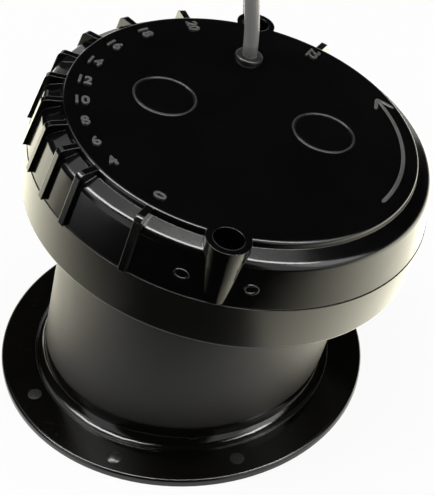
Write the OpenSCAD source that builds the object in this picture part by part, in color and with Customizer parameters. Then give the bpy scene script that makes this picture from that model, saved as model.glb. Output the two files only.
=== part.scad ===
// In-hull sonar transducer with adjustable deadrise.
// A round base is bonded to the inside of a boat's hull and its tube leans by the wedge angle.
// The housing plugs into the tube, and its sensing face leans by the same angle,
// so turning the housing adds the two wedges up or cancels them.

/* [Base] */
// Diameter of the flange that is bonded to the hull
flange_d = 130; // [120:1:150]
// Thickness of the flange
flange_t = 2.6; // [2:0.2:5]
// Rounding of the flange's upper edge
flange_round = 1; // [0.4:0.2:1.6]
// Width of the flared foot where the tube rises from the flange
foot_w = 3.8; // [2:0.2:6]
// Height of the flared foot
foot_h = 8; // [4:0.5:12]
// Step at the outer edge of the foot
foot_step = 0.6; // [0.2:0.1:1]
// Lean of the tube, and of the sensing face in the housing
wedge = 11; // [8:0.5:12]
// Height at which the leaning axis crosses the middle of the flange
pivot_z = 4; // [2:0.5:8]
// How far the flange stands out from the tube
flange_reach = 16; // [12:0.5:20]
// Wall of the tube
tube_wall = 4; // [3:0.25:5]

/* [Collar] */
// How far the collar stands out from the tube
collar_reach = 15.5; // [14.5:0.25:18]
// Way up the leaning axis to the collar's lower edge
collar_z = 65; // [55:1:80]
// Height of the collar
collar_h = 16.5; // [14:0.5:24]
// Wall of the collar
collar_wall = 4; // [2.5:0.25:5]
// Floor between the tube and the collar
collar_floor = 3.5; // [2.5:0.25:5]
// Rounding of the collar's lower edge
collar_round = 1.5; // [0.5:0.25:2]
// Width of the index mark on the collar
index_w = 1.6; // [1:0.2:3]
// Height of the index mark
index_h = 7; // [4:0.5:10]
// How far the index mark stands proud
index_proud = 0.6; // [0.3:0.1:1]

/* [Bayonet] */
// Reach of the locking ledge round the tube's mouth
ledge_reach = 4; // [3:0.25:4.5]
// Thickness of the ledge
ledge_t = 3.5; // [2.5:0.25:5]
// Rise of the tube's mouth above the collar
mouth_rise = 2.5; // [1:0.25:4]
// Thickness of a locking tab
tab_t = 3.5; // [2.5:0.25:4.5]
// Angle that a tab takes up
tab_deg = 26; // [15:1:32]
// Wall of the ring that carries the tabs
hook_wall = 3; // [2:0.25:3.5]
// Room between the ledge and the tabs' ring
hook_room = 1.5; // [1:0.25:2]
// Extra angle of a notch over its tab
notch_room = 6; // [3:1:10]
// Turn past the end of the scale to where the housing lifts out
release_deg = 14; // [10:1:20]

/* [Cap] */
// Height of the cap above the seam
cap_h = 17.8; // [16:0.2:24]
// Set-back of the flat top's edge from the collar
top_in = 8.5; // [8:0.25:10]
// Thickness of the flat top
cap_t = 3.8; // [3:0.2:5]
// Rounding of the flat top's edge
top_round = 1; // [0.5:0.1:1.5]
// Set-back of the shoulder's outer edge from the collar
shoulder_in = 2.8; // [2:0.1:4]
// Drop from the flat top to the root of the shoulder
root_drop = 2.1; // [1.6:0.1:3]
// Drop from the flat top to the shoulder's outer edge
shoulder_drop = 3.2; // [2.8:0.1:5]
// Rounding of the shoulder's outer edge
shoulder_round = 3; // [1:0.1:3.4]
// Wall of the skirt
skirt_wall = 3.2; // [2.5:0.1:3.6]
// Set-back of the skirt from the collar at the seam
skirt_inset = 0.2; // [0:0.1:1]
// Running gap between the housing and the base
run_gap = 0.3; // [0.2:0.05:0.4]

/* [Scale] */
// Deadrise that the housing is set to, in degrees
setting = 13; // [0:0.5:20]
// Bearing of the zero rib from the cap's own X axis
zero_az = -114; // [-130:1:-110]
// Width of a scale rib
rib_w = 2.2; // [1.4:0.2:3]
// Reach of a rib beyond the shoulder's edge
rib_reach = 0.5; // [0.3:0.1:2]
// Reach of a rib beyond the skirt at its lower end
rib_foot = 1.4; // [0.6:0.1:2.4]
// Rounding of a rib's outer corner
rib_round = 2.2; // [1:0.2:2.6]

/* [Lugs] */
// Set-back of a lug's hole from the collar
lug_in = 7.5; // [7:0.25:8.5]
// Diameter of a lug at the top
lug_d = 13.2; // [12:0.2:14]
// Diameter of a lug at the seam
lug_foot_d = 9.4; // [8:0.2:11]
// How far a lug's foot stands proud of the skirt
lug_foot_proud = 0.7; // [0.3:0.1:1.2]
// Diameter of the hole in a lug
lug_bore = 9; // [7:0.25:9.5]
// Depth of the hole in a lug
lug_depth = 11; // [8:0.5:12]
// Floor under the hole in a lug
lug_floor = 1.6; // [1:0.1:2]

/* [Fill plugs] */
// Distance from the cup's inner wall to the middle of a fill plug
fill_in = 15.5; // [13.5:0.25:18]
// Offset of the fill plugs towards the cable
fill_y = 2; // [0:0.5:4]
// Diameter of a fill plug's head
fill_d = 18.4; // [16:0.2:20]
// Thickness of the head
fill_head_t = 2.6; // [1.8:0.1:2.8]
// Diameter of the stem
fill_stem_d = 14; // [11:0.5:14.5]
// Wall of the socket that takes the stem
fill_socket_wall = 2.5; // [2:0.25:3.5]
// Length of the socket under the flat top
fill_socket = 4; // [2:0.5:8]
// Gap round a fill plug
fill_gap = 0.15; // [0.1:0.05:0.3]

/* [Housing] */
// Wall of the cup that carries the sensor
cup_wall = 4; // [3.5:0.25:5]
// Way up the leaning axis to the middle of the sensing face
face_z = 18; // [17:0.5:24]
// Thickness of the sensing face
window_t = 3; // [2:0.25:4]
// Height of the ring under the cap that centres the cup
spigot_h = 4; // [2:0.5:8]
// Wall of that ring
spigot_wall = 1.7; // [1.2:0.1:2]
// Gap round the centring ring
spigot_gap = 0.1; // [0.05:0.05:0.2]
// Thickness of the sealing ring
seal_d = 3; // [2.5:0.1:3.2]
// Depth of the sealing ring below the tube's mouth
seal_drop = 8; // [6:0.5:14]
// Squeeze allowance between the sealing ring and its bore
seal_gap = 0.05; // [0.03:0.01:0.1]

/* [Sensor] */
// Diameter of the piezo disc
piezo_d = 46; // [36:1:50]
// Thickness of the piezo disc
piezo_t = 10; // [6:0.5:11]
// Thickness of the matching layer in front of the disc
match_t = 3; // [2:0.25:4]
// Thickness of the cork round and behind the disc
cork_t = 4; // [2:0.5:5]
// Diameter of the hole in the cork for the leads
cork_hole = 16; // [14:1:20]
// Way up the leaning axis to the top of the potting
pot_z = 58; // [56:1:66]
// Diameter of a lead
lead_d = 1.4; // [1:0.1:2]
// Distance of a lead from the middle of the disc
lead_x = 4; // [3:0.5:5]
// Rise of a lead from the disc before it bends
lead_rise = 9; // [8:0.5:11]

/* [Cable] */
// Diameter of the cable
cable_d = 5; // [4.5:0.1:5.5]
// Distance from the cup's inner wall to the middle of the cable
cable_in = 6.2; // [5.6:0.1:8]
// Offset of the cable to the side
cable_x = -1; // [-2:0.5:2]
// Way up the leaning axis to the cable's inner end
tail_z = 50; // [48:1:54]
// Diameter of the grommet's neck
grommet_d = 7.4; // [6.8:0.2:8]
// Diameter of the grommet's head
grommet_head_d = 9.4; // [8.6:0.2:10]
// Diameter of the grommet's lip under the flat top
grommet_lip_d = 8.4; // [8:0.1:8.6]
// Height of the grommet's head above the flat top
grommet_h = 1.3; // [0.8:0.1:3]
// Height of the grommet's lip under the flat top
grommet_lip = 2; // [1:0.5:3]
// Gap round the grommet's neck
grommet_gap = 0.05; // [0.03:0.01:0.1]
// Turns side by side in the coil
coil_turns = 7; // [5:1:8]
// Layers of turns on each other, an odd number
coil_layers = 5; // [3:2:7]
// Radius of the coil at the middle of its turns
coil_r = 44; // [40:1:45]
// Room between the coil and the flange
coil_gap = 1.2; // [1:0.2:6]
// Thickness of the bands that tie the coil
tie_t = 1; // [0.6:0.1:1.5]
// Angle of the coil that a band covers
tie_deg = 14; // [8:1:20]

/* [Plug] */
// Diameter of the plug's body
plug_d = 16; // [14:0.5:18]
// Length of the plug's body
plug_len = 30; // [24:1:36]
// Length of the tapered boot behind it
boot_len = 20; // [16:1:26]
// Length of the nose
nose_len = 10; // [8:0.5:12]
// Diameter of the nose
nose_d = 12; // [11:0.5:13]
// Wall of the nose
nose_wall = 1.2; // [0.8:0.1:1.6]
// Number of grip flutes round the body
flutes = 12; // [8:1:16]
// Diameter of a contact pin
pin_d = 1.2; // [0.8:0.1:1.4]
// Radius of the circle of pins
pin_r = 2.8; // [2.4:0.1:3.2]
// Thickness of the insert that holds the pins
insert_t = 4; // [3:0.5:5]

/* [Hidden] */
$fn = 96;
far = 200;
// Heights along the leaning axis
seam_z = collar_z + collar_h;
cap_z = seam_z + run_gap;
top_z = cap_z + cap_h;
under_z = top_z - cap_t;
mouth_z = seam_z + mouth_rise;
ledge_z = mouth_z - ledge_t;
tab_top = ledge_z - run_gap;
tab_z = tab_top - tab_t;
seal_z = mouth_z - seal_drop;
pocket_z = top_z - shoulder_drop - skirt_wall - 2.4;
head_z = top_z - fill_head_t;
tip_z = top_z + grommet_h;
// Radii
flange_r = flange_d / 2;
tube_r = flange_r - flange_reach;
bore_r = tube_r - tube_wall;
foot_r = tube_r + foot_w;
collar_r = tube_r + collar_reach;
ledge_r = tube_r + ledge_reach;
hook_r = ledge_r + hook_room;
top_r = collar_r - top_in;
shoulder_r = collar_r - shoulder_in;
skirt_r = collar_r - skirt_inset;
cup_r = bore_r - run_gap;
cup_in = cup_r - cup_wall;
lug_r = collar_r - lug_in;
fill_x = cup_in - fill_in;
cable_y = cup_in - cable_in;
seal_r = bore_r - seal_gap - seal_d / 2;
piezo_r = piezo_d / 2;
cable_r = cable_d / 2;
coil_w = coil_turns * cable_d;
coil_h = coil_layers * cable_d;
coil_inner = coil_r - coil_w / 2 + cable_r;
coil_outer = coil_r + coil_w / 2 - cable_r;
// Stack behind the sensing face, measured square to it
match_z = window_t;
piezo_z = match_z + match_t;
back_z = piezo_z + piezo_t;
// The mark on the collar's high side, and the turn that brings the setting to it
index_az = 180;
function turn_for(deadrise) = 2 * asin(min(1, sin(deadrise / 2) / sin(wedge)));
full_scale = 2 * wedge;
cap_turn = index_az + turn_for(setting) - zero_az - 360;
face_az = zero_az - index_az;
tab_az = [20, 128, 262];
release_turn = index_az - zero_az - 180 + release_deg;
// Readings that have a rib
marks = [0, 4, 6, 8, 10, 12, 14, 16, 18, 20, 22];
mark_share = full_scale / 22;

// A point at bearing a and height z on the plain cylinder of radius r
function polar(r, a, z) = [r * cos(a), r * sin(a), z];
// Points of an arc about c from angle a to angle b
function arc(c, r, a, b, n = 8) = [for (i = [0:n]) c + r * [cos(a + (b - a) * i / n), sin(a + (b - a) * i / n)]];
function turn_y(p, a) = [p.x * cos(a) + p.z * sin(a), p.y, p.z * cos(a) - p.x * sin(a)];
function turn_z(p, a) = [p.x * cos(a) - p.y * sin(a), p.x * sin(a) + p.y * cos(a), p.z];
function on_face(p) = turn_z(turn_y(p, -wedge), face_az) + [0, 0, face_z];
function in_world(p) = turn_y(turn_z(p, cap_turn), wedge) + [0, 0, pivot_z];

// The leaning axis of the tube
module lean() {
    translate([0, 0, pivot_z]) rotate([0, wedge, 0]) children();
}

// The housing's own frame, turned to its setting
module housing() {
    lean() rotate([0, 0, cap_turn]) children();
}

// The frame of the tilted sensing face
module face() {
    housing() translate([0, 0, face_z]) rotate([0, 0, face_az]) rotate([0, -wedge, 0]) children();
}

// A ring of inner radius a, outer radius b, from height z0 to z1
module ring(a, b, z0, z1) {
    translate([0, 0, z0]) difference() {
        cylinder(r = b, h = z1 - z0);
        translate([0, 0, -1]) cylinder(r = a, h = z1 - z0 + 2);
    }
}

// A sector of a ring, centred on bearing az
module sector(a, b, z0, z1, az, deg) {
    rotate([0, 0, az - deg / 2]) rotate_extrude(angle = deg)
        translate([a, z0]) square([b - a, z1 - z0]);
}

// A straight rod of radius r from p to q
module rod(p, q, r) {
    d = q - p;
    translate(p) rotate([0, acos(d.z / norm(d)), atan2(d.y, d.x)]) cylinder(r = r, h = norm(d), $fn = 24);
}

// Base: flange, flared foot, leaning tube, collar and locking ledge, in one moulding
module foot() {
    z0 = flange_t + foot_step;
    rim = [foot_r, z0];
    flare = [for (i = [0:10]) [foot_r - (foot_w + tube_wall / 3) * sin(9 * i), z0 + foot_h * (1 - cos(9 * i))]];
    rotate_extrude() polygon(concat([[bore_r - 6, 0], [foot_r, 0], rim], flare,
                                    [[bore_r - 6, z0 + foot_h]]));
}

module collar() {
    c = [collar_r - collar_round, collar_z + collar_round];
    rotate_extrude() polygon(concat([[tube_r - 1, collar_z]], arc(c, collar_round, -90, 0, 6),
        [[collar_r, seam_z], [collar_r - collar_wall, seam_z],
         [collar_r - collar_wall, collar_z + collar_floor], [tube_r - 1, collar_z + collar_floor]]));
}

module ledge() {
    difference() {
        ring(tube_r - 1, ledge_r, ledge_z, mouth_z);
        for (az = tab_az)
            sector(tube_r - 0.5, ledge_r + 1, ledge_z - 1, mouth_z + 1, az + release_turn, tab_deg + notch_room);
    }
}

module base() {
    color("#1d1d1e") difference() {
        union() {
            rotate_extrude() polygon(concat([[bore_r - 6, 0], [flange_r, 0]],
                arc([flange_r - flange_round, flange_t - flange_round], flange_round, 0, 90, 6),
                [[bore_r - 6, flange_t]]));
            foot();
            lean() {
                translate([0, 0, -2 * pivot_z]) cylinder(r = tube_r, h = mouth_z + 2 * pivot_z);
                collar();
                ledge();
                rotate([0, 0, index_az]) translate([collar_r - 1, -index_w / 2, seam_z - index_h])
                    cube([1 + index_proud, index_w, index_h]);
            }
        }
        lean() translate([0, 0, -far / 2]) cylinder(r = bore_r, h = far);
        translate([-far, -far, -2 * far]) cube(2 * far);
    }
}

// Cap: flat top, stepped shoulder, flared skirt, and the ring with the locking tabs
module cap_shell() {
    edge = [top_r - top_round, top_z - top_round];
    brim = [shoulder_r - shoulder_round, top_z - shoulder_drop - shoulder_round];
    rotate_extrude() polygon(concat([[0, under_z], [0, top_z]], arc(edge, top_round, 90, 0, 6),
        [[top_r + 0.2, top_z - root_drop]], arc(brim, shoulder_round, 70, 12, 8),
        [[skirt_r, cap_z], [skirt_r - skirt_wall, cap_z],
         [hook_r + hook_wall + 1, pocket_z], [hook_r + hook_wall, pocket_z],
         [hook_r + hook_wall, tab_z], [hook_r, tab_z], [hook_r, under_z]]));
}

// One scale rib: level with the flat top, round at its outer corner, then down along the skirt to the seam
module rib() {
    out = shoulder_r + rib_reach;
    c = [out - rib_round, top_z - 0.4 - rib_round];
    rotate([90, 0, 0]) linear_extrude(rib_w, center = true)
        polygon(concat([[hook_r + 1, cap_z + 6], [hook_r + 1, top_z - top_round]],
                       [[top_r - top_round, top_z - 0.2]], arc(c, rib_round, 86, 14, 7),
                       [[skirt_r + rib_foot, cap_z], [skirt_r - 1, cap_z]]));
}

// One lug: a leaning cone that narrows from the flat top down to the seam
module lug() {
    foot_x = skirt_r + lug_foot_proud - lug_foot_d / 2;
    run = [foot_x - lug_r, top_z - cap_z];
    slope = atan2(run.x, run.y);
    grow = (lug_d - lug_foot_d) / 2 / run.y;
    intersection() {
        translate([lug_r + 2 * run.x, 0, cap_z - run.y]) rotate([0, -slope, 0])
            cylinder(r1 = max(1, lug_foot_d / 2 - grow * run.y), r2 = lug_d / 2 + grow * run.y,
                     h = 3 * run.y / cos(slope));
        ring(hook_r, skirt_r + 20, cap_z, top_z);
    }
    translate([lug_r, 0, top_z - lug_depth - lug_floor]) cylinder(d = lug_d, h = lug_depth + lug_floor);
}

module fill_socket_at(side) {
    translate([side * fill_x, fill_y, under_z - fill_socket])
        cylinder(d = fill_stem_d + 2 * fill_socket_wall, h = fill_socket + 1);
}

module fill_hole_at(side) {
    translate([side * fill_x, fill_y, 0]) {
        translate([0, 0, head_z]) cylinder(d = fill_d + 2 * fill_gap, h = far);
        translate([0, 0, under_z - fill_socket - 1]) cylinder(d = fill_stem_d + 2 * fill_gap, h = far);
    }
}

module top_cap() {
    color("#161617") housing() difference() {
        union() {
            cap_shell();
            for (m = marks) rotate([0, 0, zero_az - turn_for(m * mark_share)]) rib();
            for (az = [-90, 90]) rotate([0, 0, az]) lug();
            for (az = tab_az) sector(tube_r + 0.6, hook_r + 1, tab_z, tab_top, az, tab_deg);
            for (side = [-1, 1]) fill_socket_at(side);
            ring(cup_in - spigot_gap - spigot_wall, cup_in - spigot_gap, under_z - spigot_h, under_z + 1);
        }
        for (az = [-90, 90]) rotate([0, 0, az]) translate([lug_r, 0, top_z - lug_depth])
            cylinder(d = lug_bore, h = lug_depth + 5);
        for (side = [-1, 1]) fill_hole_at(side);
        translate([cable_x, cable_y, under_z - 1]) cylinder(d = grommet_d + 2 * grommet_gap, h = cap_t + 2);
    }
}

// Cup: carries the sensor, closed below by the tilted sensing face
module below_face(gap) {
    translate([0, 0, face_z]) rotate([0, 0, face_az]) rotate([0, -wedge, 0])
        translate([-far, -far, gap - 2 * far]) cube(2 * far);
}

module cup_core(r, gap, top) {
    difference() {
        translate([0, 0, -far]) cylinder(r = r, h = far + top);
        below_face(gap);
    }
}

module transducer_cup() {
    color("#2a2a2c") housing() difference() {
        cup_core(cup_r, 0, under_z);
        cup_core(cup_in, window_t, under_z + 1);
        ring(seal_r - seal_d / 2, cup_r + 1, seal_z - seal_d * 0.6, seal_z + seal_d * 0.6);
    }
}

// Sealing ring in the cup's groove
module seal_ring() {
    color("#0c0c0c") housing() translate([0, 0, seal_z])
        rotate_extrude() translate([seal_r, 0]) circle(d = seal_d, $fn = 32);
}

// Flush plugs in the two filling holes
module fill_plug(side) {
    color("#131314") housing() translate([side * fill_x, fill_y, 0]) {
        translate([0, 0, head_z]) cylinder(d = fill_d, h = fill_head_t);
        translate([0, 0, under_z - fill_socket]) cylinder(d = fill_stem_d, h = head_z - under_z + fill_socket);
    }
}

// Rubber grommet where the cable leaves the flat top
module grommet() {
    r = grommet_head_d / 2;
    lip = grommet_lip_d / 2;
    b = grommet_h * 0.6;
    color("#0e0e0e") housing() translate([cable_x, cable_y, 0])
        rotate_extrude() polygon(concat([[cable_r, under_z - grommet_lip], [lip, under_z - grommet_lip],
            [lip, under_z], [grommet_d / 2, under_z], [grommet_d / 2, top_z], [r, top_z]],
            arc([r - b, tip_z - b], b, 0, 90, 6), [[cable_r, tip_z]]));
}

// Sensor stack, square to the sensing face
module disc(r, z, t) {
    translate([0, 0, z]) cylinder(r = r, h = t);
}

module matching_layer() {
    color("#8a6d3b") face() disc(piezo_r, match_z, match_t);
}

module piezo_disc() {
    color("#d8cfa8") face() disc(piezo_r, piezo_z, piezo_t);
}

module cork_ring() {
    color("#a9793f") face() ring(piezo_r, piezo_r + cork_t, match_z, back_z);
}

module cork_disc() {
    color("#b3834a") face() ring(cork_hole / 2, piezo_r + cork_t, back_z, back_z + cork_t);
}

// Leads from the disc's back to the cable, one each side
module lead_path(side) {
    a = on_face([side * lead_x, 0, back_z]);
    b = on_face([side * lead_x, 0, back_z + lead_rise]);
    c = [cable_x + side * cable_r * 0.45, cable_y, tail_z];
    rod(a, b, lead_d / 2);
    translate(b) sphere(d = lead_d * 1.2, $fn = 24);
    rod(b, c, lead_d / 2);
}

module lead_trim(side) {
    difference() {
        housing() lead_path(side);
        cable_tail_solid();
    }
}

module lead_left() {
    color("firebrick") lead_trim(-1);
}

module lead_right() {
    color("#202020") lead_trim(1);
}

// Inner end of the cable, from the potting up through the grommet
module cable_tail_solid() {
    housing() translate([cable_x, cable_y, tail_z]) cylinder(r = cable_r, h = tip_z - tail_z);
}

module cable_tail() {
    color("#101010") cable_tail_solid();
}

// Potting that fills the lower part of the cup
module potting() {
    color("#3b3a36") difference() {
        housing() cup_core(cup_in, window_t, pot_z);
        face() disc(piezo_r + cork_t, match_z, back_z - match_z);
        face() ring(cork_hole / 2, piezo_r + cork_t, back_z, back_z + cork_t);
        lead_trim(-1);
        lead_trim(1);
        cable_tail_solid();
    }
}

// Cable: up from the grommet, over backwards, and down into the coil behind the base
exit_point = in_world([cable_x, cable_y, tip_z]);
exit_dir = in_world([cable_x, cable_y, tip_z + 1]) - exit_point;
coil_at = [-22, flange_r + coil_gap + coil_r + coil_w / 2, tie_t];
rise = [[0.45, 0, 3], [0.6, 0, 8], [0.2, 0, 16], [-0.8, 0, 30], [-2.3, 4, 46], [-4.3, 18, 61], [-7.3, 38, 68],
        [-10.3, 58, 62], [-12.3, 70, 46]];
fall = [[23, -17.5, 127], [22.8, -18, 103], [23.2, -18.4, 79], [23.3, -18.4, 62], [23.5, -18, 46],
        [24, -17, 37], [26.2, -12, 29], [28, -7.2, 25.2]];
drop_az = 8;
tail_az = -95;
tail = [[13, -58.7, 1.5], [30, -58.7, 1.5], [45, -58.5, 1.7], [57, -56, 2.5], [66, -50.5, 3.9],
        [71.5, -42, 5.6]];
plug_at = coil_at + [73.5, -32, plug_d / 2 - tie_t];
plug_az = 95;
drop_point = coil_at + polar(coil_inner, drop_az, coil_h - cable_r);
tail_point = coil_at + polar(coil_outer, tail_az, cable_r);
lead_points = concat([for (p = rise) exit_point + p], [for (p = fall) coil_at + p], [drop_point]);
tail_points = concat([tail_point], [for (p = tail) coil_at + p]);
route_out = concat([exit_point], lead_points);
route_end = concat(tail_points, [plug_at]);

// A smooth curve through points p: steps rings in each stretch
function spline_at(p, i, t) =
    let (a = p[max(i - 1, 0)], b = p[i], c = p[i + 1], d = p[min(i + 2, len(p) - 1)])
    0.5 * (2 * b + (c - a) * t + (2 * a - 5 * b + 4 * c - d) * t * t + (3 * b - a - 3 * c + d) * t * t * t);
function spline(p, steps) = concat([for (i = [0:len(p) - 2]) for (k = [0:steps - 1]) spline_at(p, i, k / steps)],
                                   [p[len(p) - 1]]);
function unit(v) = v / norm(v);
function way(p, i, first, last) = i == 0 ? first : i == len(p) - 1 ? last : unit(p[i + 1] - p[i - 1]);

// A tube swept along points p, with square ends along first and last, and side across the route
module sweep(p, r, first, last, side, sides = 10) {
    n = len(p);
    rings = [for (i = [0:n - 1])
        let (w = way(p, i, first, last),
             u = unit(cross(w, side)),
             v = cross(w, u))
        for (k = [0:sides - 1]) p[i] + r * (cos(360 * k / sides) * u + sin(360 * k / sides) * v)];
    walls = [for (i = [0:n - 2]) for (k = [0:sides - 1])
        let (a = i * sides + k, b = i * sides + (k + 1) % sides) [a, a + sides, b + sides, b]];
    ends = [[for (k = [0:sides - 1]) k], [for (k = [0:sides - 1]) n * sides - 1 - k]];
    polyhedron(rings, concat(walls, ends));
}

module cable() {
    color("#101010") {
        sweep(spline(route_out, 3), cable_r, exit_dir, polar(1, drop_az + 90, 0), [1, 0, 0]);
        sweep(spline(route_end, 3), cable_r, polar(1, tail_az + 90, 0), polar(1, plug_az, 0), [0, 0, 1]);
    }
}

// The rest of the cable, coiled behind the base
module coil_outline(proud) {
    translate([coil_r, coil_h / 2]) offset(r = cable_r + proud, $fn = 32)
        square([coil_w - cable_d, coil_h - cable_d], center = true);
}

module cable_coil() {
    color("#121212") translate(coil_at) rotate_extrude() coil_outline(0);
}

// Bands that hold the coil together
module tie(az) {
    color("#1b1b1d") translate(coil_at) rotate([0, 0, az - tie_deg / 2]) rotate_extrude(angle = tie_deg)
        difference() {
            coil_outline(tie_t);
            coil_outline(0);
        }
}

// Plug on the cable's far end, lying beside the coil
module on_plug() {
    translate(plug_at) rotate([0, 0, plug_az]) rotate([0, 90, 0]) children();
}

module plug_boot() {
    color("#0f0f0f") on_plug() cylinder(r1 = cable_r + 0.8, r2 = plug_d * 0.4, h = boot_len);
}

module plug_body() {
    r = plug_d / 2;
    color("#19191a") on_plug() translate([0, 0, boot_len]) difference() {
        union() {
            rotate_extrude() polygon(concat([[0, 0]], arc([r - 1.5, 1.5], 1.5, -90, 0, 4),
                arc([r - 1, plug_len - 1], 1, 0, 90, 4), [[0, plug_len]]));
            cylinder(d = nose_d, h = plug_len + nose_len);
        }
        translate([0, 0, plug_len - insert_t]) cylinder(d = nose_d - 2 * nose_wall, h = nose_len + insert_t + 1);
        for (k = [0:flutes - 1]) rotate([0, 0, 360 * (k + 0.5) / flutes])
            translate([r + 0.5, 0, plug_len * 0.2]) cylinder(d = 2, h = plug_len * 0.6, $fn = 16);
    }
}

module plug_insert() {
    color("#3a3a3c") on_plug() translate([0, 0, boot_len + plug_len - insert_t]) difference() {
        cylinder(d = nose_d - 2 * nose_wall, h = insert_t);
        for (k = [1:5]) translate(polar(pin_r, 72 * k, -1)) cylinder(d = pin_d, h = insert_t + 2, $fn = 24);
    }
}

module pin(k) {
    z = boot_len + plug_len - insert_t;
    color("goldenrod") on_plug() translate(polar(pin_r, 72 * k, z))
        cylinder(d = pin_d, h = insert_t + nose_len * 0.7, $fn = 24);
}

base();
top_cap();
transducer_cup();
seal_ring();
fill_plug(-1);  // fill_plug_left
fill_plug(1);  // fill_plug_right
grommet();
matching_layer();
piezo_disc();
cork_ring();
cork_disc();
potting();
lead_left();
lead_right();
cable_tail();
cable();
cable_coil();
tie(220);  // tie_left
tie(40);  // tie_right
plug_boot();
plug_body();
plug_insert();
pin(1);  // pin_1
pin(2);  // pin_2
pin(3);  // pin_3
pin(4);  // pin_4
pin(5);  // pin_5
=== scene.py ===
# %% [markdown]
# # A depth transducer for the inside of a boat's hull
# The part is a black plastic base that is bonded to the hull, with a housing that turns in it.
# Turning the housing adds up or cancels two wedges of 11 degrees, so that the sounder looks straight down.
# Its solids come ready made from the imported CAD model. This lesson adds what a solid model lacks:
# the cable with all its turns, raised figures, moulding marks, finishes, light and a camera.

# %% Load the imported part
import math

import bpy
import numpy as np
from mathutils import Matrix


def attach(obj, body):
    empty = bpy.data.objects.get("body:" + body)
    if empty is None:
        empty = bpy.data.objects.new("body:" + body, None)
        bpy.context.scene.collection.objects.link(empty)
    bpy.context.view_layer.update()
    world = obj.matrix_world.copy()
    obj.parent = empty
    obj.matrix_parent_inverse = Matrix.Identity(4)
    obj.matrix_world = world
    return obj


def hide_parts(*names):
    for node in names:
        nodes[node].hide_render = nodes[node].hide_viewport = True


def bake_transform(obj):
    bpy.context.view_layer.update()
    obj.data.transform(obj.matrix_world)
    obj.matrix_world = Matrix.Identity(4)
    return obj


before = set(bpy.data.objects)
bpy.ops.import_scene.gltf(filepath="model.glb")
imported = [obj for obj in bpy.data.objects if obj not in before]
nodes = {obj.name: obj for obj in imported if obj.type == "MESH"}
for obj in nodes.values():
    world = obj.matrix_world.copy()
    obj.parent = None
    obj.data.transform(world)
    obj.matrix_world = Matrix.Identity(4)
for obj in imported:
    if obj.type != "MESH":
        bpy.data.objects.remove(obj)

MM = 0.001
scene = bpy.context.scene
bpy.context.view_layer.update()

# %% [markdown]
# ## The camera
# The photograph was taken from close by, a little to the right, looking down at about forty degrees.
# A camera can be placed by a matrix of solved numbers, but bearing, height, roll and distance
# can be read and changed, so the matrix is worked out from those.
# The sensor's 36 mm lie along the picture's long side.

# %% Camera
AIM = np.array([11.0, 5.4, 44.0]) * MM
DISTANCE = 400 * MM
BEARING, RISE, ROLL = np.radians([10.51, 39.88, 1.87])
LENS = 84.68

back = np.array([math.sin(BEARING) * math.cos(RISE), -math.cos(BEARING) * math.cos(RISE), math.sin(RISE)])
level = np.array([math.cos(BEARING), math.sin(BEARING), 0.0])
over = np.cross(back, level)
stand = np.eye(4)
stand[:3, 0] = level * math.cos(ROLL) + over * math.sin(ROLL)
stand[:3, 1] = over * math.cos(ROLL) - level * math.sin(ROLL)
stand[:3, 2] = back
stand[:3, 3] = AIM + DISTANCE * back
camera_data = bpy.data.cameras.new("camera")
camera_data.lens = LENS
camera = bpy.data.objects.new("camera", camera_data)
camera.matrix_world = Matrix(stand)
scene.collection.objects.link(camera)
scene.camera = camera
print("camera at", np.round(stand[:3, 3], 4).tolist())

# %% [markdown]
# ## The cap's own frame
# The tube leans by the wedge angle about a pivot just above the hull,
# and the housing is turned about that leaning axis.
# Figures and marks are easiest to lay out in the cap's own frame, flat and untilted.
# One function then carries any array of points from there into the frame that the CAD model shares.

# %% Frames
FULL = 360.0
WEDGE = math.radians(11)
PIVOT = np.array([0.0, 0.0, 4.0])
# The reading that is set, the bearing of the scale's zero on the cap and that of the mark on the base.
SETTING, ZERO_AZ, INDEX_AZ = 13.0, -114.0, 180.0
# The height of the cap's flat top above the pivot, in millimetres.
TOP_Z = 99.6


def turn_for(deadrise):
    """The turn in degrees that brings a reading to the mark:
    twice the arcsine of the sine of half the reading over the sine of the wedge."""
    return 2 * math.degrees(math.asin(min(1.0, math.sin(math.radians(deadrise) / 2) / math.sin(WEDGE))))


CAP_TURN = math.radians(INDEX_AZ + turn_for(SETTING) - ZERO_AZ - FULL)


def spun(points, angle, axis):
    """Points turned about the Z or the Y axis:
    the two other coordinates mix by the angle's cosine and sine."""
    c, s = math.cos(angle), math.sin(angle)
    turn = {"z": [[c, -s, 0], [s, c, 0], [0, 0, 1]], "y": [[c, 0, s], [0, 1, 0], [-s, 0, c]]}[axis]
    return np.asarray(points, float) @ np.array(turn).T


def from_cap(points):
    """Millimetres in the cap's own frame to metres in the shared frame:
    turn, lean, then lift to the pivot."""
    return (spun(spun(points, CAP_TURN, "z"), WEDGE, "y") + PIVOT) * MM


def polar(radius, degrees, height):
    """Points at a bearing, radius and height; arrays of any of them spread over the others."""
    a = np.radians(np.asarray(degrees, float))
    r, a, z = np.broadcast_arrays(np.asarray(radius, float), a, np.asarray(height, float))
    return np.stack([r * np.cos(a), r * np.sin(a), z], axis=-1)


print("housing turned by", round(math.degrees(CAP_TURN), 2), "degrees")

# %% [markdown]
# ## From arrays to pieces
# Every new piece is a grid of points: rows along it and columns round or across it.
# Neighbouring points make quads, and the piece goes into Blender as whole arrays.
# Building with operators would also work, but arrays are quicker and say exactly what the shape is.

# %% Mesh helpers
def quads(rows, columns, closed):
    """Corner numbers of the quads of a grid: each point with its next column and next row."""
    k = np.arange(columns if closed else columns - 1)
    i = np.arange(rows - 1)[:, None]
    a, b = i * columns + k, i * columns + (k + 1) % columns
    return np.stack([a, b, b + columns, a + columns], axis=-1).reshape(-1, 4)


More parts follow.
